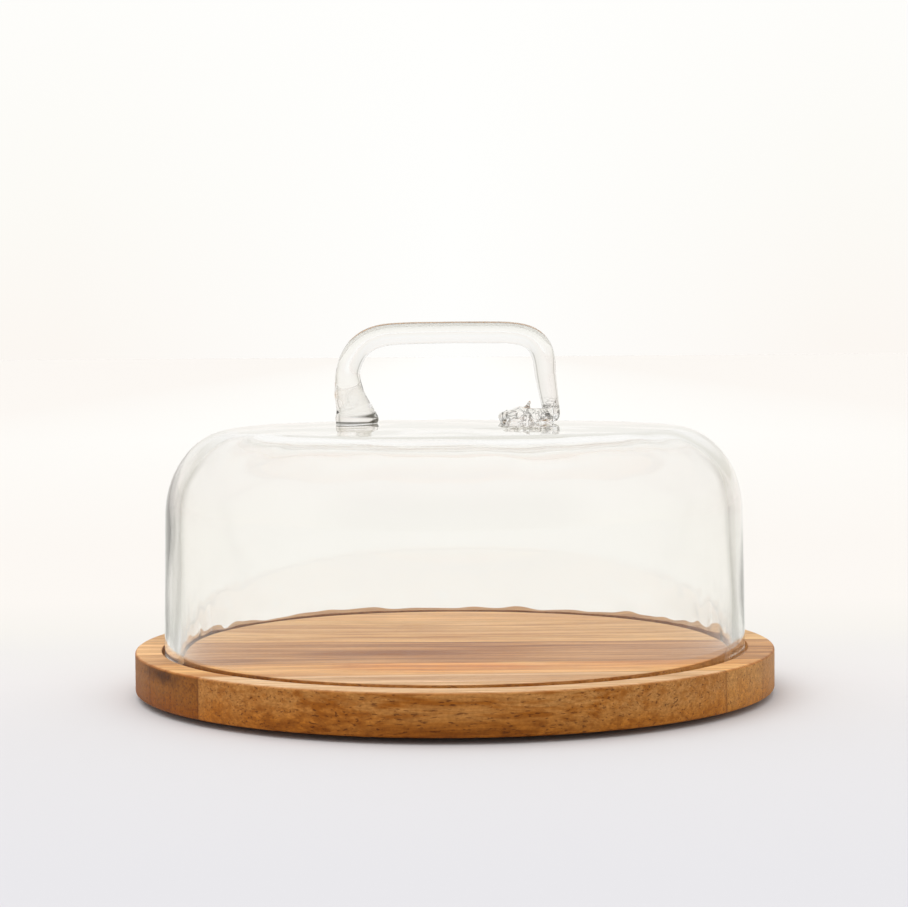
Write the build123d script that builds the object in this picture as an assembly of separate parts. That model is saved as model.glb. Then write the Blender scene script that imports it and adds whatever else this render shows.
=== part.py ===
"""Glass cake dome on a round wooden board.

A hand-blown glass bell stands in a ring groove of an edge-glued board, which stands on four
rubber feet. A solid glass rod, applied hot, makes the handle on the bell's crown.

Millimetres, +Z up. The origin is on the table, under the middle of the board. The planks run
along X, and the front of the board faces -Y.
"""

import os
from math import atan2, cos, degrees, radians, sin, tan

from build123d import *

# Board
BOARD_RADIUS = 160.0
BOARD_THICKNESS = 20.0
TOP_EDGE_BREAK = 1.0
BOTTOM_EDGE_BREAK = 1.0

# Planks from front to rear, and the glue lines between them: (Y at X = 0, skew in degrees)
PLANKS = ["plank_front", "plank_front_mid", "plank_centre", "plank_rear_mid", "plank_rear"]
GLUE_LINES = [(-104.3, 2.1), (-65.5, 0.8), (6.5, 0.0), (93.0, -0.4)]

# Ring groove that holds the bell
GROOVE_INNER_RADIUS = 136.0
GROOVE_OUTER_RADIUS = 146.8
GROOVE_DEPTH = 5.0
GROOVE_EDGE_BREAK = 0.4

# Rubber feet, glued under the board, and the angle of each about Z in degrees
FEET = {"foot_rear_right": 45, "foot_rear_left": 135, "foot_front_left": 225, "foot_front_right": 315}
FOOT_RING_RADIUS = 118.0
FOOT_HEIGHT = 3.0
FOOT_RADIUS = 8.0
FOOT_SOLE_RADIUS = 7.0

# Glass bell: a drafted wall, an elliptical shoulder and a shallow crown
BELL_WALL = 6.5
WALL_DRAFT = 1.0
CROWN_SLOPE = 2.7
SHOULDER_RADIUS = 144.3
SHOULDER_BASE_Z = 90.0
SHOULDER_WIDTH = 35.0
SHOULDER_HEIGHT = 42.3
RIM_ROUND = 2.4

# Glass handle: the route of a rod from its flared left foot to the end folded under its right
# leg, as corners (X, Z) with a bend radius at each inner one, and the rod's diameter at
# fractions of the route
HANDLE_TOP_Z = 179.8
HANDLE_ROUTE = [
    (-47.6, 132.0),
    (-53.3, 155.0),
    (-52.0, HANDLE_TOP_Z),
    (45.5, HANDLE_TOP_Z),
    (48.6, 138.6),
    (27.0, 138.6),
]
HANDLE_BENDS = [16.0, 21.0, 14.0, 5.6]
ROD_DIAMETERS = [
    (0.0, 23.0),
    (0.03, 20.5),
    (0.07, 16.5),
    (0.12, 13.4),
    (0.2, 12.2),
    (0.35, 11.0),
    (0.7, 11.0),
    (0.8, 10.4),
    (0.92, 8.8),
    (1.0, 8.4),
]
ROD_SECTIONS = 40

BOARD_TOP_Z = FOOT_HEIGHT + BOARD_THICKNESS
GROOVE_FLOOR_Z = BOARD_TOP_Z - GROOVE_DEPTH


def turned(outline):
    """A solid turned about Z from a flat outline whose X is the radius and whose Y is the height."""
    return revolve(Plane.XZ * outline, Axis.Z)


def corner_at(outline, point):
    """The outline's corner nearest to a point."""
    return min(outline.vertices(), key=lambda corner: (Vector(corner.X, corner.Y) - Vector(*point)).length)


def board_disc():
    """The whole board as one disc with its ring groove and broken edges."""
    rim_top = (BOARD_RADIUS, BOARD_TOP_Z)
    rim_bottom = (BOARD_RADIUS, FOOT_HEIGHT)
    groove_outer_top = (GROOVE_OUTER_RADIUS, BOARD_TOP_Z)
    groove_inner_top = (GROOVE_INNER_RADIUS, BOARD_TOP_Z)
    outline = make_face(
        Polyline(
            (0, FOOT_HEIGHT),
            rim_bottom,
            rim_top,
            groove_outer_top,
            (GROOVE_OUTER_RADIUS, GROOVE_FLOOR_Z),
            (GROOVE_INNER_RADIUS, GROOVE_FLOOR_Z),
            groove_inner_top,
            (0, BOARD_TOP_Z),
            close=True,
        )
    )
    outline = chamfer(corner_at(outline, rim_top), TOP_EDGE_BREAK)
    outline = chamfer(corner_at(outline, rim_bottom), BOTTOM_EDGE_BREAK)
    outline = chamfer(corner_at(outline, groove_outer_top), GROOVE_EDGE_BREAK)
    outline = chamfer(corner_at(outline, groove_inner_top), GROOVE_EDGE_BREAK)
    return turned(outline)


def glue_line_ends(y_middle, skew):
    """The two ends of a glue line, past the edge of the board."""
    reach = 1.1 * BOARD_RADIUS
    rise = reach * tan(radians(skew))
    return (-reach, y_middle - rise), (reach, y_middle + rise)


def planks():
    """Each plank: the stretch of the disc between two glue lines."""
    disc = board_disc()
    outside = 1.1 * BOARD_RADIUS
    lines = [(-outside, 0.0), *GLUE_LINES, (outside, 0.0)]
    solids = {}
    for name, front, rear in zip(PLANKS, lines, lines[1:]):
        front_left, front_right = glue_line_ends(*front)
        rear_left, rear_right = glue_line_ends(*rear)
        strip = make_face(Polyline(front_left, front_right, rear_right, rear_left, close=True))
        solids[name] = disc & extrude(strip, 2 * BOARD_TOP_Z)
    return solids


def feet():
    """The rubber feet: low discs that taper to the sole."""
    outline = make_face(
        Polyline((0, 0), (FOOT_SOLE_RADIUS, 0), (FOOT_RADIUS, FOOT_HEIGHT), (0, FOOT_HEIGHT), close=True)
    )
    foot = turned(outline)
    solids = {}
    for name, angle in FEET.items():
        x = FOOT_RING_RADIUS * cos(radians(angle))
        y = FOOT_RING_RADIUS * sin(radians(angle))
        solids[name] = Pos(x, y, 0) * foot
    return solids


def bell_curve(inset):
    """The bell's outline from its rim to the top of its crown, as far inside the glass as inset.

    The shoulder is the stretch of an ellipse that leaves the wall and meets the crown in line
    with both. Returns the curve's edges and its two ends.
    """
    half_width = SHOULDER_WIDTH - inset
    half_height = SHOULDER_HEIGHT - inset
    middle = (SHOULDER_RADIUS - SHOULDER_WIDTH, SHOULDER_BASE_Z)
    start_angle = atan2(half_height * tan(radians(WALL_DRAFT)), half_width)
    end_angle = atan2(half_height, half_width * tan(radians(CROWN_SLOPE)))
    turn = degrees(end_angle - start_angle)
    shoulder = EllipticalCenterArc(middle, half_width, half_height, degrees(start_angle), arc_size=turn)
    wall_top = shoulder @ 0
    crown_edge = shoulder @ 1
    rim = (wall_top.X + (wall_top.Y - GROOVE_FLOOR_Z) * tan(radians(WALL_DRAFT)), GROOVE_FLOOR_Z)
    crown_radius = crown_edge.X / sin(radians(CROWN_SLOPE))
    top = (0, crown_edge.Y + crown_radius * (1 - cos(radians(CROWN_SLOPE))))
    half_slope = radians(CROWN_SLOPE / 2)
    halfway = (crown_radius * sin(half_slope), top[1] - crown_radius * (1 - cos(half_slope)))
    return [Line(rim, wall_top), shoulder, ThreePointArc(crown_edge, halfway, top)], rim, top


def bell():
    """The glass bell: open below, with a fire-rounded rim that stands on the groove's floor."""
    outer, outer_rim, outer_top = bell_curve(0)
    inner, inner_rim, inner_top = bell_curve(BELL_WALL)
    outline = make_face([*outer, Line(outer_top, inner_top), *inner, Line(inner_rim, outer_rim)])
    outline = fillet(corner_at(outline, outer_rim), RIM_ROUND)
    outline = fillet(corner_at(outline, inner_rim), RIM_ROUND)
    return turned(outline)


def bell_filled():
    """Everything inside the bell's outer surface, glass and hollow together."""
    outer, rim, top = bell_curve(0)
    outline = make_face([*outer, Line(top, (0, GROOVE_FLOOR_Z)), Line((0, GROOVE_FLOOR_Z), rim)])
    return turned(outline)


def rod_diameter(fraction):
    """The rod's diameter at a fraction of its route."""
    for (f0, d0), (f1, d1) in zip(ROD_DIAMETERS, ROD_DIAMETERS[1:]):
        if fraction <= f1:
            return d0 + (d1 - d0) * (fraction - f0) / (f1 - f0)
    return ROD_DIAMETERS[-1][1]


def handle():
    """The glass rod of the handle, fused to the crown at its flared foot and its folded end."""
    corners = [(x, 0, z) for x, z in HANDLE_ROUTE]
    route = FilletPolyline(*corners, radius=HANDLE_BENDS)
    sections = []
    for i in range(ROD_SECTIONS + 1):
        fraction = i / ROD_SECTIONS
        place = Plane(origin=route @ fraction, z_dir=route % fraction)
        sections.append(place * Circle(rod_diameter(fraction) / 2))
    rod = loft(sections)
    folded_end = Pos(*(route @ 1)) * Sphere(rod_diameter(1) / 2)
    return rod + folded_end - bell_filled()


def main():
    nodes = {**planks(), **feet(), "glass_bell": bell(), "glass_handle": handle()}
    os.makedirs("parts", exist_ok=True)
    for name, solid in nodes.items():
        export_step(solid, f"parts/{name}.step")


main()
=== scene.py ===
"""Looks of the glass cake dome on its round wooden board, in metres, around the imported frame."""

import math

import bmesh
import bpy
from mathutils import Matrix, Vector, noise


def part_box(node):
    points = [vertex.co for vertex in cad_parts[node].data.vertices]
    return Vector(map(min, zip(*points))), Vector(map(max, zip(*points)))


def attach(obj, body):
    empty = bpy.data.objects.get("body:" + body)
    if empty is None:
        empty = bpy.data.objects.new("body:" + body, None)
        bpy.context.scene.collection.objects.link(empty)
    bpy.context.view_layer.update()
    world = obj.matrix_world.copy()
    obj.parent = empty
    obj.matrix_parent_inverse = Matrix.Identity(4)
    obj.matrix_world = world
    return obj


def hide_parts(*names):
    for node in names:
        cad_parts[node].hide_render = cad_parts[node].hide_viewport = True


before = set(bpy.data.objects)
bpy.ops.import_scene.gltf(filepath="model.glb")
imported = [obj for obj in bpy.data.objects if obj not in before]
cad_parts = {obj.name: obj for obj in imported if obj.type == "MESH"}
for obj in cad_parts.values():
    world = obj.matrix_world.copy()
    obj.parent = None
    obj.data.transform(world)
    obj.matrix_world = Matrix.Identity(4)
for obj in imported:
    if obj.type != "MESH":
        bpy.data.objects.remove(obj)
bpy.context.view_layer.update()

MM = 0.001

# Levels and radii, read from the frame
BOARD_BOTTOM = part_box("plank_centre")[0].z
BOARD_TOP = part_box("plank_centre")[1].z
BOARD_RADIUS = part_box("plank_centre")[1].x
BELL_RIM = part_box("glass_bell")[0].z

# Board edges and groove
GROOVE_INNER = 136.0 * MM
GROOVE_OUTER = 146.8 * MM
GROOVE_FLOOR = BELL_RIM
TOP_ROUND = 1.3 * MM
BOTTOM_ROUND = 1.1 * MM
GROOVE_ROUND = 0.5 * MM
BOARD_STEPS = 720

# Glue lines between planks, front to rear: (Y at X = 0, skew in degrees)
GLUE_LINES = [(-104.3, 2.1), (-65.5, 0.8), (6.5, 0.0), (93.0, -0.4)]
PLANKS = ["plank_front", "plank_front_mid", "plank_centre", "plank_rear_mid", "plank_rear"]

FEET = ["foot_front_left", "foot_front_right", "foot_rear_left", "foot_rear_right"]

# Glass bell
WALL = 6.5 * MM
CROWN_WALL = 4.6 * MM
INSIDE_OFFSET = 0.8 * MM
WALL_DRAFT = math.radians(1.0)
CROWN_SLOPE = math.radians(2.7)
SHOULDER_RADIUS = 144.3 * MM
SHOULDER_BASE = 90.0 * MM
SHOULDER_WIDTH = 35.0 * MM
SHOULDER_HEIGHT = 42.3 * MM
RIM_ROUND = 2.6 * MM
RIM_STEPS = 12
BELL_STEPS = 400

# Camera
CAMERA_DISTANCE = 1113.5 * MM
CAMERA_HEIGHT = 173.8 * MM
CAMERA_SIDE = 0.3 * MM
CAMERA_PITCH = math.radians(2.82)
CAMERA_ROLL = math.radians(-0.423)
CAMERA_LENS = 87.79


# ---------------------------------------------------------------- mesh helpers


def new_piece(name, mesh_code):
    """An object whose mesh is what mesh_code builds in an empty bmesh."""
    mesh = bpy.data.meshes.new(name)
    bm = bmesh.new()
    mesh_code(bm)
    bmesh.ops.recalc_face_normals(bm, faces=bm.faces)
    bm.to_mesh(mesh)
    bm.free()
    piece = bpy.data.objects.new(name, mesh)
    bpy.context.scene.collection.objects.link(piece)
    return piece


def smooth(piece, angle):
    """Smooth shading with a crease where faces meet at more than angle degrees."""
    for polygon in piece.data.polygons:
        polygon.use_smooth = True
    piece.data.set_sharp_from_angle(angle=math.radians(angle))


def arc(centre, radius, start, end, steps):
    """Points on a circular arc, angles in degrees."""
    points = []
    for i in range(steps + 1):
        a = math.radians(start + (end - start) * i / steps)
        points.append((centre[0] + radius * math.cos(a), centre[1] + radius * math.sin(a)))
    return points


def turn_outline(bm, outline, steps):
    """Faces of an outline of (radius, height) turned about Z. Points on the axis become poles."""
    rings = []
    for radius, height in outline:
        if radius < 1e-6:
            rings.append([bm.verts.new((0, 0, height))])
            continue
        ring = []
        for i in range(steps):
            a = 2 * math.pi * i / steps
            ring.append(bm.verts.new((radius * math.cos(a), radius * math.sin(a), height)))
        rings.append(ring)
    for low, high in zip(rings, rings[1:]):
        for i in range(steps):
            j = (i + 1) % steps
            low_side = [low[i % len(low)], low[j % len(low)]]
            high_side = [high[j % len(high)], high[i % len(high)]]
            bm.faces.new(list(dict.fromkeys(low_side + high_side)))


# ---------------------------------------------------------------- board


def board_outline():
    """The board's section: middle of its underside, edge, groove, middle of its top."""
    bottom_centre = (BOARD_RADIUS - BOTTOM_ROUND, BOARD_BOTTOM + BOTTOM_ROUND)
    top_centre = (BOARD_RADIUS - TOP_ROUND, BOARD_TOP - TOP_ROUND)
    outer_lip = (GROOVE_OUTER + GROOVE_ROUND, BOARD_TOP - GROOVE_ROUND)
    inner_lip = (GROOVE_INNER - GROOVE_ROUND, BOARD_TOP - GROOVE_ROUND)
    outline = [(0, BOARD_BOTTOM), (BOARD_RADIUS * 0.5, BOARD_BOTTOM)]
    outline += arc(bottom_centre, BOTTOM_ROUND, -90, 0, 6)
    outline += arc(top_centre, TOP_ROUND, 0, 90, 8)
    outline += arc(outer_lip, GROOVE_ROUND, 90, 180, 4)
    outline += [(GROOVE_OUTER, GROOVE_FLOOR), (GROOVE_INNER, GROOVE_FLOOR)]
    outline += arc(inner_lip, GROOVE_ROUND, 0, 90, 4)
    outline += [(BOARD_RADIUS * 0.5, BOARD_TOP), (0, BOARD_TOP)]
    return outline


def cut_at(bm, glue_line, keep_rear):
    """Cuts the mesh along a glue line, keeps what is behind or in front of it, and closes the cut."""
    y_middle, skew = glue_line
    across = Vector((-math.sin(math.radians(skew)), math.cos(math.radians(skew)), 0))
    geometry = bm.verts[:] + bm.edges[:] + bm.faces[:]
    cut = bmesh.ops.bisect_plane(
        bm,
        geom=geometry,
        dist=1e-7,
        plane_co=(0, y_middle * MM, 0),
        plane_no=across,
        clear_inner=keep_rear,
        clear_outer=not keep_rear,
    )
    edges = [item for item in cut["geom_cut"] if isinstance(item, bmesh.types.BMEdge)]
    bmesh.ops.triangle_fill(bm, use_beauty=True, edges=edges)


def make_planks():
    """The planks: strips of the board's disc between glue lines."""
    lines = [None, *GLUE_LINES, None]
    planks = {}
    for name, front, rear in zip(PLANKS, lines, lines[1:]):

        def build(bm):
            turn_outline(bm, board_outline(), BOARD_STEPS)
            if front:
                cut_at(bm, front, keep_rear=True)
            if rear:
                cut_at(bm, rear, keep_rear=False)

        piece = new_piece(name + "_wood", build)
        smooth(piece, 35)
        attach(piece, "board")
        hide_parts(name)
        planks[name] = piece
    return planks


def make_feet():
    """Small turned rubber pads under the board, their soles dished."""
    feet = []
    for name in FEET:
        low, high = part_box(name)
        middle = (low + high) / 2
        radius = (high.x - low.x) / 2
        sole = radius - 1.0 * MM
        top = high.z
        outline = [(0, low.z + 0.5 * MM), (sole * 0.45, low.z + 0.4 * MM), (sole * 0.6, low.z)]
        outline += arc((sole - 0.5 * MM, low.z + 0.5 * MM), 0.5 * MM, -90, -20, 5)
        outline += [(radius, top - 0.5 * MM), (radius, top), (0, top)]

        def build(bm):
            turn_outline(bm, outline, 64)
            bmesh.ops.translate(bm, verts=bm.verts[:], vec=(middle.x, middle.y, 0))

        foot = new_piece(name + "_pad", build)
        smooth(foot, 30)
        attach(foot, "board")
        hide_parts(name)
        feet.append(foot)
    return feet


# ---------------------------------------------------------------- glass


def bell_curve(wall_inset, crown_inset, steps):
    """One surface of the bell: (radius, height) points from the rim's rounding to the crown's pole."""
    half_width = SHOULDER_WIDTH - wall_inset
    half_height = SHOULDER_HEIGHT - crown_inset
    middle = SHOULDER_RADIUS - SHOULDER_WIDTH
    start = math.atan2(half_height * math.tan(WALL_DRAFT), half_width)
    end = math.atan2(half_height, half_width * math.tan(CROWN_SLOPE))
    shoulder = []
    for i in range(steps + 1):
        a = start + (end - start) * i / steps
        radius = middle + half_width * math.cos(a)
        shoulder.append((radius, SHOULDER_BASE + half_height * math.sin(a)))
    wall = []
    wall_low = BELL_RIM + RIM_ROUND
    for i in range(steps):
        z = wall_low + (shoulder[0][1] - wall_low) * i / steps
        wall.append((shoulder[0][0] + (shoulder[0][1] - z) * math.tan(WALL_DRAFT), z))
    edge_radius, edge_z = shoulder[-1]
    crown_radius = edge_radius / math.sin(CROWN_SLOPE)
    crown = []
    for i in range(1, steps + 1):
        a = CROWN_SLOPE * (1 - i / steps)
        rise = crown_radius * (math.cos(a) - math.cos(CROWN_SLOPE))
        crown.append((crown_radius * math.sin(a), edge_z + rise))
    crown[-1] = (0, crown[-1][1])
    return wall + shoulder + crown


def bell_outline(steps=40):
    """The bell's closed section: outer pole down to the rim and up to the inner pole."""
    outer = bell_curve(0, 0, steps)
    inner = bell_curve(WALL, CROWN_WALL, steps)
    rim_outer = outer[0][0]
    rim_inner = inner[0][0]
    rim_middle = (rim_outer + rim_inner) / 2
    half = (rim_outer - rim_inner) / 2
    rim = []
    for i in range(1, RIM_STEPS):
        a = -math.pi * i / RIM_STEPS
        height = BELL_RIM + RIM_ROUND + RIM_ROUND * math.sin(a)
        rim.append((rim_middle + half * math.cos(a), height))
    return outer[::-1] + rim + inner


def ease(low, high, value):
    """0 below low, 1 above high, and smooth between."""
    t = min(1.0, max(0.0, (value - low) / (high - low)))
    return t * t * (3 - 2 * t)


def ripple(point, wavelength, seed):
    """Smooth noise from -1 to 1 whose lumps are about a wavelength apart."""
    return noise.noise(point / wavelength + Vector((seed, seed * 1.7, -seed)))


def bell_unevenness(point, inside):
    """How far the hand-blown surface stands out from its plain shape at a point."""
    seed = 11.0 if inside else 4.0
    swell = 0.30 * MM * ripple(point, 120 * MM, seed)
    side = ease(118 * MM, 142 * MM, abs(point.x)) * (1.0 if point.x > 0 else 0.4)
    side_waves = side * 0.3 * MM * ripple(point, 34 * MM, seed + 1)
    rear = ease(-20 * MM, 40 * MM, point.y)
    low_shade = 1 - ease(BELL_RIM + 8 * MM, BELL_RIM + 30 * MM, point.z)
    rim_waves = rear * low_shade * 0.8 * MM * ripple(point, 12 * MM, seed + 2)
    shoulder = ease(SHOULDER_BASE + 10 * MM, SHOULDER_BASE + 28 * MM, point.z)
    shoulder_waves = shoulder * 0.22 * MM * ripple(point, 24 * MM, seed + 3)
    return swell + side_waves + rim_waves + shoulder_waves


def make_bell():
    """The blown bell: uneven, with its inside a little off centre so that its left wall is thicker."""
    outline = bell_outline()
    outer_count = outline.index(min(outline, key=lambda p: p[1]))

    def build(bm):
        turn_outline(bm, outline, BELL_STEPS)
        bmesh.ops.recalc_face_normals(bm, faces=bm.faces)
        bm.normal_update()
        bm.verts.ensure_lookup_table()
        outer_verts = 1 + (outer_count - 1) * BELL_STEPS
        for vert in bm.verts:
            inside = vert.index > outer_verts
            rings_past_rim = (vert.index - outer_verts) / BELL_STEPS
            vert.co += vert.normal * bell_unevenness(vert.co, inside)
            vert.co.x += INSIDE_OFFSET * ease(0, RIM_STEPS, rings_past_rim)

    return new_piece("bell_glass", build)


# The handle's rod: (x, z, radius) in millimetres along its middle line, from its foot on the
# left, up, over and down to where it is folded under at the right
ROD = [
    (-48.5, 132.0, 9.9),
    (-48.5, 134.4, 10.4),
    (-48.4, 137.2, 10.9),
    (-49.0, 141.0, 9.7),
    (-51.1, 147.0, 8.3),
    (-52.4, 152.8, 7.0),
    (-52.7, 159.5, 6.1),
    (-50.6, 167.0, 6.0),
    (-46.3, 173.2, 5.8),
    (-39.5, 177.4, 5.7),
    (-29.5, 179.3, 5.6),
    (-8.0, 179.8, 5.5),
    (16.0, 179.8, 5.5),
    (30.0, 179.3, 5.5),
    (38.5, 177.1, 5.6),
    (43.8, 172.1, 5.8),
    (45.8, 165.8, 5.7),
    (46.6, 157.9, 5.2),
    (47.8, 149.5, 4.9),
    (49.0, 142.5, 4.5),
    (49.6, 138.5, 4.2),
    (49.4, 135.4, 3.0),
]

# The folded end: (x, y, z, half height, half width) in millimetres along its middle line
FOLD = [
    (52.6, -0.5, 136.4, 1.2, 2.0),
    (50.6, -1.0, 137.6, 3.2, 5.0),
    (46.0, -1.5, 137.6, 3.4, 6.0),
    (41.0, -2.0, 137.6, 3.6, 6.4),
    (36.0, -2.5, 138.1, 3.9, 6.6),
    (31.0, -2.5, 137.9, 3.7, 6.0),
    (27.0, -2.0, 137.2, 3.2, 4.6),
    (24.4, -1.5, 136.6, 2.2, 3.0),
    (23.3, -1.5, 136.2, 0.8, 1.2),
]

# Points that the soft glass was drawn out into: (base, tip, base radius) in millimetres
SPIKES = [
    ((36.4, -1.0, 140.0), (38.8, -0.5, 145.4), 2.7),
    ((50.2, -3.2, 138.5), (51.6, -4.6, 146.8), 2.8),
    ((28.0, -3.0, 139.0), (26.4, -4.0, 141.0), 1.8),
]


def curve_through(points, steps):
    """Points on a smooth curve that passes through every given point, steps to a span."""
    ends = [points[0], *points, points[-1]]

    def blend(a, b, c, d, t):
        square = 2 * a - 5 * b + 4 * c - d
        cube = 3 * b - a - 3 * c + d
        return 0.5 * (2 * b + (c - a) * t + square * t**2 + cube * t**3)

    result = []
    for neighbours in zip(ends, ends[1:], ends[2:], ends[3:]):
        for i in range(steps):
            result.append(tuple(blend(*values, i / steps) for values in zip(*neighbours)))
    result.append(points[-1])
    return result


def add_tube(bm, rings, steps=40, leg=0.0):
    """A closed tube through rings of (x, y, z, half height, half width) in millimetres.

    With leg at 1, rings below the handle's bends are turned level.
    """
    middles = [Vector(ring[:3]) * MM for ring in rings]
    across = Vector((0, 1, 0))
    loops = []
    for i, ring in enumerate(rings):
        along = (middles[min(i + 1, len(rings) - 1)] - middles[max(i - 1, 0)]).normalized()
        level = leg * (1 - ease(149 * MM, 162 * MM, middles[i].z))
        along = along.lerp(Vector((0, 0, math.copysign(1, along.z))), level)
        upright = along.cross(across).normalized()
        loop = []
        for k in range(steps):
            a = 2 * math.pi * k / steps
            offset = upright * ring[3] * math.cos(a) + across * ring[4] * math.sin(a)
            loop.append(bm.verts.new(middles[i] + offset * MM))
        loops.append(loop)
    for low, high in zip(loops, loops[1:]):
        for k in range(steps):
            j = (k + 1) % steps
            bm.faces.new((low[k], low[j], high[j], high[k]))
    bm.faces.new(loops[0][::-1])
    bm.faces.new(loops[-1])


def modified(piece, kind, **settings):
    """Applies one modifier to a piece's mesh."""
    modifier = piece.modifiers.new(kind, kind)
    for key, value in settings.items():
        setattr(modifier, key, value)
    evaluated = piece.evaluated_get(bpy.context.evaluated_depsgraph_get())
    mesh = bpy.data.meshes.new_from_object(evaluated)
    piece.modifiers.clear()
    old = piece.data
    piece.data = mesh
    bpy.data.meshes.remove(old)


def make_rod():
    """The handle's rod from its foot to where it runs into the folded end."""
    rings = [(x, 0.0, z, radius, radius) for x, z, radius in ROD]

    def build(bm):
        add_tube(bm, curve_through(rings, 14), 96, leg=1.0)
        bmesh.ops.recalc_face_normals(bm, faces=bm.faces)
        bm.normal_update()
        for vert in bm.verts:
            vert.co += vert.normal * 0.10 * MM * ripple(vert.co, 15 * MM, 8.0)

    return new_piece("rod_glass", build)


def make_fold():
    """The rod's end, folded under while soft and pressed onto the crown."""

    def build(bm):
        add_tube(bm, curve_through(FOLD, 8), 32)
        for base, tip, radius in SPIKES:
            rings = []
            for i in range(9):
                t = i / 8
                middle = [b + (e - b) * t for b, e in zip(base, tip)]
                size = radius * (1 - t) ** 1.3 + 0.12
                rings.append((*middle, size, size * 0.8))
            add_tube(bm, rings, 16)

    fold = new_piece("fold_glass", build)
    modified(fold, "REMESH", mode="VOXEL", voxel_size=0.3 * MM)
    normals = [vert.normal.copy() for vert in fold.data.vertices]
    for vert, normal in zip(fold.data.vertices, normals):
        crumple = 1 - 2 * abs(ripple(vert.co, 8 * MM, 3.0))
        vert.co += normal * 1.2 * MM * (crumple - 0.5)
    modified(fold, "SMOOTH", factor=0.5, iterations=12)
    return fold


def make_dome():
    """Bell and handle fused into one body of glass."""
    dome = make_bell()
    for part in (make_rod(), make_fold()):
        modified(dome, "BOOLEAN", operation="UNION", solver="MANIFOLD", object=part)
        bpy.data.objects.remove(part)
    dome.data.materials.clear()
    dome.name = "glass_dome"
    smooth(dome, 40)
    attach(dome, "dome")
    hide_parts("glass_bell", "glass_handle")
    return dome


# ---------------------------------------------------------------- materials


class Graph:
    """Short ways to add and link shader nodes."""

    def __init__(self, tree):
        self.tree = tree

    def add(self, kind, **settings):
        node = self.tree.nodes.new(kind)
        for key, value in settings.items():
            setattr(node, key, value)
        return node

    def link(self, value, socket):
        """Links a socket, or sets a plain value."""
        if isinstance(value, bpy.types.NodeSocket):
            self.tree.links.new(value, socket)
        elif isinstance(value, tuple) and len(value) == 3 and socket.type == "RGBA":
            socket.default_value = (*value, 1)
        else:
            socket.default_value = value

    def place(self, kind="Object"):
        return self.add("ShaderNodeTexCoord").outputs[kind]

    def split(self, vector):
        node = self.add("ShaderNodeSeparateXYZ")
        self.link(vector, node.inputs[0])
        return node.outputs[0], node.outputs[1], node.outputs[2]

    def join(self, x, y, z):
        node = self.add("ShaderNodeCombineXYZ")
        for value, socket in zip((x, y, z), node.inputs):
            self.link(value, socket)
        return node.outputs[0]

    def math(self, operation, a, b=0.0):
        node = self.add("ShaderNodeMath", operation=operation)
        self.link(a, node.inputs[0])
        self.link(b, node.inputs[1])
        return node.outputs[0]

    def product(self, first, *others):
        """All the values multiplied together."""
        for other in others:
            first = self.math("MULTIPLY", first, other)
        return first

    def span(self, value, start, end, low=0.0, top=1.0):
        """Low where the value is at start, top where it is at end, held at both ends."""
        node = self.add("ShaderNodeMapRange")
        self.link(value, node.inputs["Value"])
        node.inputs["From Min"].default_value = start
        node.inputs["From Max"].default_value = end
        node.inputs["To Min"].default_value = low
        node.inputs["To Max"].default_value = top
        return node.outputs["Result"]

    def through_glass(self):
        """1 for light seen through glass or mirrored in it."""
        path = self.add("ShaderNodeLightPath")
        return self.math("MAXIMUM", path.outputs["Is Transmission Ray"], path.outputs["Is Glossy Ray"])

    def bump(self, height, distance, strength):
        node = self.add("ShaderNodeBump")
        self.link(height, node.inputs["Height"])
        node.inputs["Distance"].default_value = distance
        node.inputs["Strength"].default_value = strength
        return node.outputs[0]

    def mix(self, factor, a, b, kind="MIX"):
        node = self.add("ShaderNodeMix", data_type="RGBA", blend_type=kind)
        self.link(factor, node.inputs[0])
        self.link(a, node.inputs[6])
        self.link(b, node.inputs[7])
        return node.outputs[2]

    def multiply(self, a, b):
        return self.mix(1.0, a, b, "MULTIPLY")

    def ramp(self, factor, stops):
        """A colour for each of several (position, colour) stops, blended between them."""
        node = self.add("ShaderNodeValToRGB")
        self.link(factor, node.inputs[0])
        elements = node.color_ramp.elements
        while len(elements) < len(stops):
            elements.new(1.0)
        for element, (position, colour) in zip(elements, stops):
            element.position = position
            element.color = (*colour, 1)
        return node.outputs[0]

    def noise(self, vector, scale=1.0, detail=3.0, roughness=0.5, distortion=0.0):
        node = self.add("ShaderNodeTexNoise")
        self.link(vector, node.inputs["Vector"])
        self.link(scale, node.inputs["Scale"])
        self.link(detail, node.inputs["Detail"])
        self.link(roughness, node.inputs["Roughness"])
        self.link(distortion, node.inputs["Distortion"])
        return node.outputs[0]


def make_material(name):
    material = bpy.data.materials.new(name)
    material.use_nodes = True
    return material, material.node_tree, material.node_tree.nodes["Principled BSDF"]


def foot_shade_line(g, x, y, z):
    """1 on the foot's lowest edge, where it was pressed on: a line that widens to the right, which
    carries painted shade.
    """
    line_top = g.span(x, -42 * MM, -37.5 * MM, low=135.5 * MM, top=137.6 * MM)
    below_top = g.span(g.math("SUBTRACT", z, line_top), 0.4 * MM, -0.3 * MM)
    above_crown = g.span(z, 134.55 * MM, 134.75 * MM)
    left_of_end = g.span(x, -36 * MM, -37 * MM)
    right_of_start = g.span(x, -60.5 * MM, -60 * MM)
    near_foot = g.span(g.math("ABSOLUTE", y), 12 * MM, 11.5 * MM)
    return g.product(below_top, above_crown, left_of_end, right_of_start, near_foot)


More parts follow.
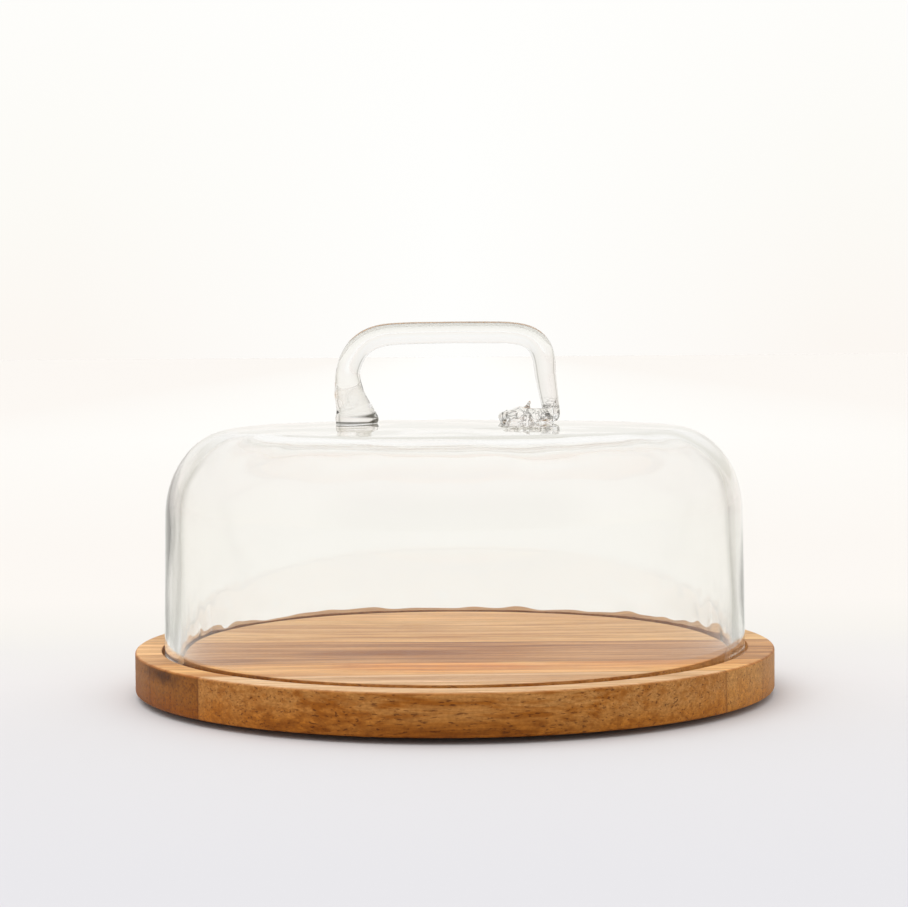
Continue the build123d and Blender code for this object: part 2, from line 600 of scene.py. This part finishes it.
def fold_shade_lines(g, x, z):
    """1 on fine lines that wander over the folded end, which carry painted shade for the dark lines of
    light trapped in the glass.
    """
    wander = g.noise(g.place(), 170.0, 3.0, 0.5, 1.2)
    dark_lines = g.span(g.math("ABSOLUTE", g.math("SUBTRACT", wander, 0.5)), 0.045, 0.012)
    along_fold = g.product(g.span(x, 21 * MM, 24 * MM), g.span(x, 60 * MM, 56 * MM))
    above_crown = g.span(z, 134.8 * MM, 135.4 * MM)
    below_bar = g.span(z, 148 * MM, 143 * MM)
    return g.product(dark_lines, along_fold, above_crown, below_bar)


def glass_tint(g):
    """Near clear, greyer on the bar's top with painted reflection, with painted shade along the foot's
    lowest edge and in fine lines over the folded end.
    """
    x, y, z = g.split(g.place())
    upward = g.split(g.place("Normal"))[2]
    # Painted reflection: the bar's top greyed, bluer where it faces up, standing for the floor mirrored
    # in it
    bar_top_reflection = g.product(g.span(upward, 0.25, 0.6), g.span(z, 168 * MM, 175 * MM))
    greying = g.mix(g.span(upward, 0.75, 0.9), (0.72, 0.73, 0.72), (0.60, 0.69, 0.80))
    tint = g.mix(bar_top_reflection, (0.986, 0.982, 0.974), greying)
    # Painted shade: a near-black line along the foot's lowest edge
    tint = g.mix(foot_shade_line(g, x, y, z), tint, (0.02, 0.018, 0.012))
    # Painted shade: fine dark lines over the folded end
    return g.mix(g.product(fold_shade_lines(g, x, z), 0.9), tint, (0.10, 0.095, 0.085))


def clear_glass():
    """Thick, faintly warm glass that lets light through to what it covers."""
    material, tree, shader = make_material("clear_glass")
    g = Graph(tree)
    g.link(glass_tint(g), shader.inputs["Base Color"])
    shader.inputs["Transmission Weight"].default_value = 1.0
    shader.inputs["IOR"].default_value = 1.47
    smears = g.noise(g.place(), 28.0, 4.0)
    g.link(g.span(smears, 0.45, 0.9, top=0.03), shader.inputs["Roughness"])
    path = g.add("ShaderNodeLightPath")
    lighting = g.math("MAXIMUM", path.outputs["Is Shadow Ray"], path.outputs["Is Diffuse Ray"])
    # Paths more than five bounces deep pass on through greyer glass: painted shade for light lost inside
    # the thick glass
    long_path = g.math("GREATER_THAN", path.outputs["Ray Depth"], 5.5)
    through = g.add("ShaderNodeBsdfTransparent")
    g.link(g.mix(long_path, (0.97, 0.965, 0.955), (0.76, 0.745, 0.69)), through.inputs["Color"])
    choose = g.add("ShaderNodeMixShader")
    g.link(g.math("MAXIMUM", lighting, long_path), choose.inputs[0])
    g.link(shader.outputs[0], choose.inputs[1])
    g.link(through.outputs[0], choose.inputs[2])
    g.link(choose.outputs[0], tree.nodes["Material Output"].inputs["Surface"])
    return material


# Pale and dark streaks of each plank's faces and of its edge, and what the right-hand end of
# its edge is multiplied by. The faces are paler and the edge darker and more saturated than the
# same wood: partly the wood's own colour, partly painted sheen on the faces and painted shade on the
# edge
TONES = {
    "plank_front": {
        "face": ((0.80, 0.54, 0.315), (0.64, 0.38, 0.18)),
        "edge": ((0.56, 0.205, 0.028), (0.31, 0.095, 0.008)),
        "right_edge": (1.05, 1.12, 1.25),
    },
    "plank_front_mid": {
        "face": ((0.82, 0.47, 0.18), (0.58, 0.27, 0.085)),
        "edge": ((0.36, 0.11, 0.009), (0.17, 0.05, 0.006)),
        "right_edge": (1.85, 2.5, 4.7),
    },
    "plank_centre": {
        "face": ((0.59, 0.315, 0.13), (0.36, 0.158, 0.052)),
        "edge": ((0.36, 0.12, 0.015), (0.19, 0.06, 0.009)),
        "right_edge": (1.75, 2.2, 3.2),
    },
    "plank_rear_mid": {
        "face": ((0.75, 0.475, 0.215), (0.54, 0.28, 0.11)),
        "edge": ((0.42, 0.17, 0.04), (0.26, 0.09, 0.02)),
        "right_edge": (1.0, 1.0, 1.0),
    },
    "plank_rear": {
        "face": ((0.79, 0.47, 0.20), (0.62, 0.33, 0.13)),
        "edge": ((0.42, 0.17, 0.04), (0.26, 0.09, 0.02)),
        "right_edge": (1.0, 1.0, 1.0),
    },
}

# Patches where each plank's wood is darker or paler: middle (x, y), half length, half width in
# millimetres, colour it multiplies the wood by
PATCHES = {
    "plank_front": [
        ((15, -118), 85, 14, (0.85, 0.78, 0.73)),
    ],
    "plank_front_mid": [
        ((-10, -82), 46, 19, (1.0, 0.80, 0.50)),
        ((70, -78), 60, 14, (1.02, 0.90, 0.75)),
    ],
    "plank_centre": [
        ((-2, -30), 60, 40, (0.76, 0.62, 0.41)),
        ((100, -30), 60, 40, (0.98, 1.0, 1.12)),
        ((-172, -30), 40, 60, (1.75, 2.10, 2.45)),
    ],
    "plank_rear_mid": [
        ((-14, 27), 60, 13, (0.84, 0.72, 0.56)),
        ((0, 10), 190, 4, (1.12, 1.10, 1.02)),
        ((-35, 72), 40, 24, (0.93, 0.90, 0.86)),
    ],
    "plank_rear": [],
}


class Grain:
    """Noise of one plank, drawn out along X and gently bent."""

    def __init__(self, g, seed):
        self.g = g
        self.seed = seed
        self.x, self.y, self.z = g.split(g.place())
        self.y_bent = self.y
        self.z_bent = self.z
        drift = g.math("SUBTRACT", self.streaks(140, 40, 7.0), 0.5)
        self.y_bent = g.math("ADD", self.y, g.product(drift, 13 * MM))
        self.z_bent = g.math("ADD", self.z, g.product(drift, 10 * MM))
        self.broad = self.streaks(230, 10, 1.0, 4.0)
        self.narrow = self.streaks(80, 4.2, 2.0, 4.0)
        self.fibres = self.streaks(16, 0.8, 3.0)
        self.pores = g.span(self.streaks(4.2, 0.95, 4.0, 2.0), 0.59, 0.68)
        self.mottle = self.streaks(46, 2.6, 5.0, 5.0)
        self.veins = g.span(self.streaks(70, 1.5, 6.0), 0.54, 0.68)
        self.grit = g.noise(g.place(), 620.0, 2.0)

    def streaks(self, length, width, offset, detail=3.0):
        """Noise with lumps of a given length along the grain and width across it, in millimetres."""
        g = self.g
        along = g.math("ADD", g.product(self.x, 1 / (length * MM)), self.seed + offset)
        across = g.product(self.y_bent, 1 / (width * MM))
        down = g.product(self.z_bent, 1 / (width * MM))
        return g.noise(g.join(along, across, down), 1.0, detail)


def wood_patch(g, grain, patch, colour):
    """Tints the wood inside a soft-edged oval."""
    (x_middle, y_middle), half_length, half_width, tint = patch
    along = g.product(g.math("SUBTRACT", grain.x, x_middle * MM), 1 / (half_length * MM))
    across = g.product(g.math("SUBTRACT", grain.y_bent, y_middle * MM), 1 / (half_width * MM))
    reach = g.math("ADD", g.product(along, along), g.product(across, across))
    reach = g.math("ADD", reach, g.product(grain.narrow, 2.6))
    inside = g.span(reach, 2.7, 1.3)
    return g.mix(inside, colour, g.multiply(colour, tint))


def face_colour(g, grain, name):
    """The broad faces: streaks, patches, fibres, veins and pores, and painted shade darkening the rim at
    the rear.
    """
    pale, dark = TONES[name]["face"]
    streaked = g.math("ADD", g.product(grain.broad, 0.52), g.product(grain.narrow, 0.48))
    face = g.mix(g.span(streaked, 0.42, 0.58), dark, pale)
    for patch in PATCHES[name]:
        face = wood_patch(g, grain, patch, face)
    squares = g.math("ADD", g.product(grain.x, grain.x), g.product(grain.y, grain.y))
    outside_groove = g.span(g.math("SQRT", squares), GROOVE_OUTER - 1 * MM, GROOVE_OUTER)
    # Painted shade: the rim outside the groove at the rear made darker and greyer, as seen through the
    # glass
    rear_rim_shade = g.product(outside_groove, g.span(grain.y, 25 * MM, 60 * MM))
    face = g.mix(rear_rim_shade, face, g.multiply(face, (0.66, 0.63, 0.62)))
    fibres = g.ramp(grain.fibres, [(0.3, (0.85, 0.81, 0.76)), (0.65, (1.09, 1.09, 1.09))])
    face = g.multiply(face, fibres)
    face = g.mix(g.product(grain.veins, 0.75), face, g.multiply(face, (0.68, 0.56, 0.44)))
    return g.mix(g.product(grain.pores, 0.35), face, g.multiply(face, (0.55, 0.42, 0.32)))


def dark_knot(g, grain):
    """1 on the knot at the left end of the edge, just under the top."""
    below = g.product(g.math("SUBTRACT", grain.z, 20 * MM), 2.4)
    across = g.join(g.math("ADD", grain.x, 137 * MM), 0.0, below)
    distance = g.add("ShaderNodeVectorMath", operation="LENGTH")
    g.link(across, distance.inputs[0])
    reach = g.math("ADD", distance.outputs["Value"], g.product(grain.narrow, 14 * MM))
    return g.span(reach, 21 * MM, 9 * MM)


def edge_colour(g, grain, name):
    """The sawn edge: mottled, darker low down with painted shade, with fibres, pores and a knot."""
    pale, dark = TONES[name]["edge"]
    from_middle = g.math("ABSOLUTE", grain.x)
    zoned = g.math("ADD", g.product(grain.z, 1 / (20 * MM)), g.product(grain.broad, 1.4))
    edge = g.mix(g.span(zoned, 0.9, 1.5), pale, g.multiply(pale, (0.82, 0.98, 1.8)))
    mottled = g.math("ADD", g.product(grain.mottle, 0.6), g.product(grain.broad, 0.4))
    heart = g.span(from_middle, 130 * MM, 60 * MM, low=0.45)
    edge = g.mix(g.product(g.span(mottled, 0.56, 0.40), heart), edge, dark)
    # Painted shade: the edge darker low down, most near the middle of the board's width
    low_shade = g.span(grain.z, BOARD_BOTTOM + 11 * MM, BOARD_BOTTOM + 1 * MM)
    low_shade = g.product(low_shade, g.span(from_middle, 90 * MM, 30 * MM, low=0.45))
    edge = g.mix(low_shade, edge, g.multiply(edge, (0.56, 0.46, 0.26)))
    edge = g.mix(dark_knot(g, grain), edge, g.multiply(edge, (0.34, 0.30, 0.26)))
    fibres = g.ramp(grain.fibres, [(0.3, (0.80, 0.76, 0.70)), (0.7, (1.12, 1.12, 1.12))])
    grit = g.ramp(grain.grit, [(0.35, (0.88, 0.86, 0.82)), (0.65, (1.09, 1.10, 1.12))])
    edge = g.multiply(g.multiply(edge, fibres), grit)
    edge = g.mix(g.product(grain.pores, 0.85), edge, g.multiply(edge, (0.36, 0.30, 0.30)))
    rightward = g.span(grain.x, -40 * MM, 60 * MM)
    return g.mix(rightward, edge, g.multiply(edge, TONES[name]["right_edge"]))


def darken_joints(g, grain, colour):
    """Thin dark lines where planks are glued together."""
    for y_middle, skew in GLUE_LINES:
        line = g.math("ADD", g.product(grain.x, math.tan(math.radians(skew))), y_middle * MM)
        distance = g.math("ABSOLUTE", g.math("SUBTRACT", grain.y, line))
        joint = g.span(distance, 0.9 * MM, 0.15 * MM)
        colour = g.mix(g.product(joint, 0.45), colour, g.multiply(colour, (0.35, 0.25, 0.2)))
    return colour


def wood(name, seed):
    """Oiled hardwood with its grain along X, its faces and edge coloured apart."""
    material, tree, shader = make_material(name)
    g = Graph(tree)
    grain = Grain(g, seed)
    face = face_colour(g, grain, name)
    edge = edge_colour(g, grain, name)
    upward = g.split(g.place("Normal"))[2]
    # Faces and edge coloured apart: partly the wood, partly painted sheen on the faces and painted shade
    # on the edge
    colour = g.mix(g.span(upward, 0.55, 0.95), edge, face)
    # A darker orange line along the rounded top edge
    top_rounding_line = g.product(g.span(upward, 0.15, 0.5), g.span(upward, 0.98, 0.75))
    colour = g.mix(g.product(top_rounding_line, 0.6), colour, g.multiply(face, (0.75, 0.52, 0.33)))
    g.link(darken_joints(g, grain, colour), shader.inputs["Base Color"])
    g.link(g.span(grain.fibres, 0.2, 0.8, low=0.42, top=0.66), shader.inputs["Roughness"])
    g.link(g.span(upward, 0.5, 0.95, low=0.12, top=0.2), shader.inputs["Specular IOR Level"])
    height = g.math("SUBTRACT", g.product(grain.fibres, 0.4), grain.pores)
    g.link(g.bump(height, 0.25 * MM, 0.35), shader.inputs["Normal"])
    return material


def rubber():
    """Dark moulded rubber, slightly dusty."""
    material, tree, shader = make_material("foot_rubber")
    g = Graph(tree)
    place = g.place()
    speckle = g.noise(place, 900.0, 3.0)
    greying = g.noise(place, 160.0, 4.0)
    colour = g.ramp(greying, [(0.35, (0.018, 0.017, 0.017)), (0.75, (0.06, 0.057, 0.053))])
    worn = g.ramp(speckle, [(0.3, (0.8, 0.8, 0.8)), (0.7, (1.1, 1.1, 1.1))])
    g.link(g.multiply(colour, worn), shader.inputs["Base Color"])
    g.link(g.span(greying, 0.3, 0.7, low=0.6, top=0.85), shader.inputs["Roughness"])
    g.link(g.bump(speckle, 0.08 * MM, 0.5), shader.inputs["Normal"])
    return material


# ---------------------------------------------------------------- studio


def side_shade(g, bearing):
    """The studio darkens towards gaps beside its rear screen. The bearing is in half turns from +Y."""
    return g.ramp(
        bearing,
        [
            (0.0, (1.0, 1.0, 1.0)),
            (0.10, (0.95, 0.945, 0.94)),
            (0.185, (0.87, 0.86, 0.84)),
            (0.205, (0.58, 0.575, 0.55)),
            (0.225, (0.58, 0.575, 0.55)),
            (0.255, (0.95, 0.94, 0.93)),
        ],
    )


def make_floor():
    """A wide sheet of pale paper, with painted light making it paler towards the back, and painted shade
    where glass shows it.
    """

    def build(bm):
        corners = [(-30, -30, 0), (30, -30, 0), (30, 30, 0), (-30, 30, 0)]
        bm.faces.new([bm.verts.new(corner) for corner in corners])

    floor = new_piece("floor", build)
    material, tree, shader = make_material("floor_paper")
    g = Graph(tree)
    x, y, height = g.split(g.place())
    # Painted light: paler and warmer towards the back, where light spills from the backdrop, greyer and
    # more lavender at the front
    tone = g.ramp(
        g.span(y, -0.4, 0.6),
        [
            (0.0, (0.65, 0.643, 0.669)),
            (0.25, (0.672, 0.659, 0.672)),
            (0.43, (0.717, 0.696, 0.697)),
            (0.545, (0.721, 0.703, 0.69)),
            (0.633, (0.744, 0.723, 0.694)),
            (0.79, (0.773, 0.744, 0.716)),
        ],
    )
    # Painted light: a paler glow far behind the board
    glow = g.product(g.span(g.math("ABSOLUTE", x), 1.2, 0.2), g.span(y, 0.8, 3.0))
    tone = g.mix(glow, tone, (0.80, 0.80, 0.785))
    # Painted shade seen only through glass: the paper darker towards the studio's gaps beside its rear
    # screen
    sideways = g.math("SUBTRACT", g.math("ABSOLUTE", x), 0.14)
    bearing = g.math("ARCTAN2", sideways, y)
    dimmed = g.multiply(tone, side_shade(g, g.math("DIVIDE", bearing, math.pi)))
    dimmed = g.mix(g.span(y, 1.6, 0.9), dimmed, g.multiply(dimmed, (1.015, 1.04, 1.035)))
    g.link(g.mix(g.through_glass(), tone, dimmed), shader.inputs["Base Color"])
    shader.inputs["Roughness"].default_value = 0.9
    shader.inputs["Specular IOR Level"].default_value = 0.0
    floor.data.materials.append(material)
    return floor


def make_world():
    """A white studio lit from the upper left. Glass also shows its gaps and the darker room in front."""
    world = bpy.data.worlds.new("studio")
    bpy.context.scene.world = world
    world.use_nodes = True
    g = Graph(world.node_tree)
    background = world.node_tree.nodes["Background"]
    x, y, z = g.split(g.place("Generated"))
    screen = g.ramp(
        g.span(z, 0.0, 0.2),
        [(0.0, (0.975, 0.935, 0.89)), (0.35, (0.98, 0.965, 0.925)), (1.0, (1.0, 1.0, 0.985))],
    )
    aim = g.add("ShaderNodeVectorMath", operation="DOT_PRODUCT")
    g.link(g.place("Generated"), aim.inputs[0])
    aim.inputs[1].default_value = Vector((-0.30, 0.14, 0.94)).normalized()
    softbox = g.span(aim.outputs["Value"], 0.80, 0.87)
    lit = g.mix(softbox, g.multiply(screen, (0.92, 0.92, 0.92)), (2.15, 2.15, 2.15))
    azimuth = g.math("DIVIDE", g.math("ABSOLUTE", g.math("ARCTAN2", x, y)), math.pi)
    shade = g.mix(g.span(z, 0.25, 0.5), side_shade(g, azimuth), (1.0, 1.0, 1.0))
    room = g.product(g.span(azimuth, 0.66, 0.78), g.span(z, 0.75, 0.45))
    glassy = g.mix(room, g.multiply(screen, shade), (0.50, 0.49, 0.48))
    screen = g.mix(g.span(azimuth, 0.055, 0.0), screen, (1.0, 1.0, 0.985))
    surroundings = g.mix(g.through_glass(), lit, glassy)
    seen = g.add("ShaderNodeLightPath").outputs["Is Camera Ray"]
    g.link(g.mix(seen, surroundings, screen), background.inputs["Color"])
    background.inputs["Strength"].default_value = 1.0


def make_camera():
    """The camera, in front of the board and looking slightly down."""
    camera = bpy.data.objects.new("camera", bpy.data.cameras.new("camera"))
    bpy.context.scene.collection.objects.link(camera)
    camera.data.lens = CAMERA_LENS
    camera.data.sensor_width = 36.0
    camera.data.clip_start = 0.01
    camera.data.clip_end = 50.0
    camera.location = (CAMERA_SIDE, -CAMERA_DISTANCE, CAMERA_HEIGHT)
    tilt = Matrix.Rotation(math.pi / 2 - CAMERA_PITCH, 4, "X") @ Matrix.Rotation(CAMERA_ROLL, 4, "Z")
    camera.rotation_euler = tilt.to_euler()
    bpy.context.scene.camera = camera


planks = make_planks()
for seed, (name, piece) in enumerate(planks.items()):
    piece.data.materials.append(wood(name, 10.0 + 7.3 * seed))
rubber_material = rubber()
for foot in make_feet():
    foot.data.materials.append(rubber_material)
dome = make_dome()
dome.data.materials.append(clear_glass())
make_floor()
make_world()
make_camera()
bpy.context.scene.view_settings.view_transform = "Standard"
